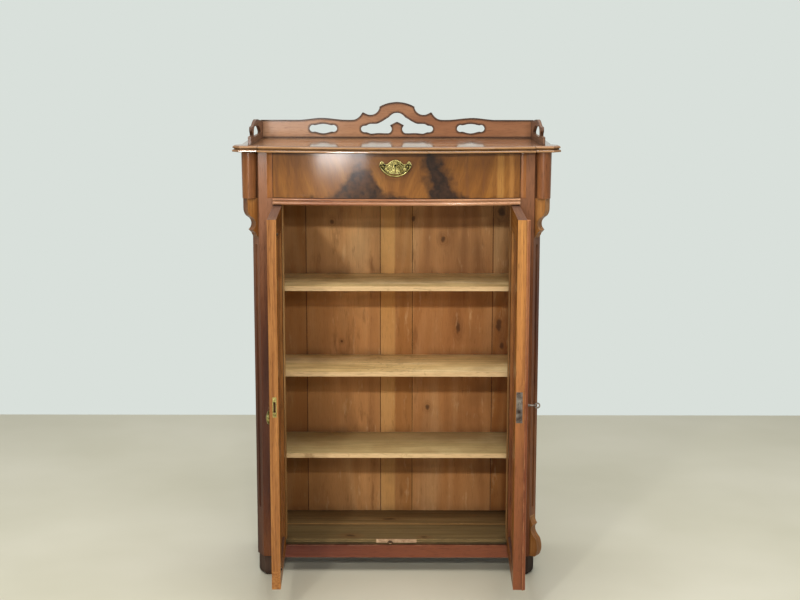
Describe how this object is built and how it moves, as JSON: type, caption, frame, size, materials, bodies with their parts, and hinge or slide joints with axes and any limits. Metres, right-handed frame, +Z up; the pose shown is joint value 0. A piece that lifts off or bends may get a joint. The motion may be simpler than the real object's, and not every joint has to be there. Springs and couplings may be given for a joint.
{
  "type": "two-door cabinet with drawer",
  "caption": "Half-height two-door cupboard with a bowed drawer, canted corners with columns and scroll brackets, shelves, and a pierced gallery round the top.",
  "frame": {"origin": "middle of the bounding box at the floor, with both doors open as pictured", "axes": "+Z up, -Y towards the front, +X to the right seen from the front"},
  "size_m": [0.96, 0.6833, 1.4262],
  "materials": {
    "stained_wood": "polished, worn",
    "veneer": "figured veneer, polished",
    "plain_wood": "unpolished softwood, aged",
    "dark_wood": "dark stain, worn",
    "brass": "aged, tarnished in the hollows",
    "iron": "aged, slightly rusted"
  },
  "bodies": {
    "case": {"side_left": "stained_wood", "side_right": "stained_wood", "corner_post_left": "stained_wood", "corner_post_right": "stained_wood", "column_left": "stained_wood", "column_right": "stained_wood", "upper_bracket_left": "stained_wood", "upper_bracket_right": "stained_wood", "lower_bracket_right": "stained_wood", "feet_front": "dark_wood", "feet_rear": "dark_wood", "plinth_rail": "stained_wood", "bottom_boards": "plain_wood", "sill_strip": "brass", "drawer_rail": "stained_wood", "rail_bead": "stained_wood", "top_cross_rails": "plain_wood", "drawer_runners": "plain_wood", "shelf_upper": "plain_wood", "shelf_middle": "plain_wood", "shelf_lower": "plain_wood", "shelf_battens": "plain_wood", "stop_battens": "plain_wood", "back_boards": "plain_wood", "top_board": "stained_wood", "gallery_back": "stained_wood", "gallery_left": "stained_wood", "gallery_right": "stained_wood", "hinge_plates": "iron"},
    "drawer": {"drawer_front": "veneer", "drawer_sides": "plain_wood", "drawer_back": "plain_wood", "drawer_bottom": "plain_wood", "drawer_lock": "brass", "handle_plate": "brass"},
    "drawer_handle": {"handle_bail": "brass"},
    "drawer_lock_bolt": {"drawer_lock_bolt": "iron"},
    "left_door": {"left_door_hinge_stile": "stained_wood", "left_door_meeting_stile": "stained_wood", "left_door_top_rail": "stained_wood", "left_door_bottom_rail": "stained_wood", "left_door_panel": "veneer", "left_door_moulding": "stained_wood", "left_door_fittings": "brass", "left_door_escutcheon": "brass"},
    "left_upper_bolt": {"left_door_upper_bolt": "iron"},
    "left_lower_bolt": {"left_door_lower_bolt": "iron"},
    "right_door": {"right_door_hinge_stile": "stained_wood", "right_door_meeting_stile": "stained_wood", "right_door_top_rail": "stained_wood", "right_door_bottom_rail": "stained_wood", "right_door_panel": "veneer", "right_door_moulding": "stained_wood", "right_door_bushes": "iron", "right_door_astragal": "stained_wood", "right_door_escutcheon": "brass", "right_door_lock": "iron"},
    "right_lock_bolt": {"right_door_lock_bolt": "iron"},
    "door_key": {"door_key": "iron"}
  },
  "joints": [
    {"name": "drawer_slide", "type": "slide", "parent": "case", "child": "drawer", "axis": [0, -1, 0], "range_m": [0, 0.22]},
    {"name": "handle_swing", "type": "hinge", "parent": "drawer", "child": "drawer_handle", "pos_m": [-0.003, -0.01832, 1.255], "axis": [-1, 0, 0], "range_deg": [0, 85]},
    {"name": "drawer_lock_slide", "type": "slide", "parent": "drawer", "child": "drawer_lock_bolt", "axis": [0, 0, 1], "range_m": [0, 0.008]},
    {"name": "left_door_hinge", "type": "hinge", "parent": "case", "child": "left_door", "pos_m": [-0.357, 0.01973, 0.087], "axis": [0, 0, 1], "range_deg": [-6, 88]},
    {"name": "left_upper_bolt_slide", "type": "slide", "parent": "left_door", "child": "left_upper_bolt", "axis": [0, 0, 1], "range_m": [0, 0.01]},
    {"name": "left_lower_bolt_slide", "type": "slide", "parent": "left_door", "child": "left_lower_bolt", "axis": [0, 0, -1], "range_m": [0, 0.01]},
    {"name": "right_door_hinge", "type": "hinge", "parent": "case", "child": "right_door", "pos_m": [0.357, 0.01973, 0.087], "axis": [0, 0, -1], "range_deg": [-5, 89]},
    {"name": "lock_bolt_slide", "type": "slide", "parent": "right_door", "child": "right_lock_bolt", "axis": [-0.0175, -0.9998, 0], "range_m": [0, 0.01]},
    {"name": "key_turn", "type": "hinge", "parent": "right_door", "child": "door_key", "pos_m": [0.35127, -0.30847, 0.616], "axis": [-0.9998, 0.0175, 0], "range_deg": [0, 360]}
  ],
  "couplings": [
    {"joint": "key_turn", "follows": "lock_bolt_slide", "rad_per_m": 628.3}
  ]
}
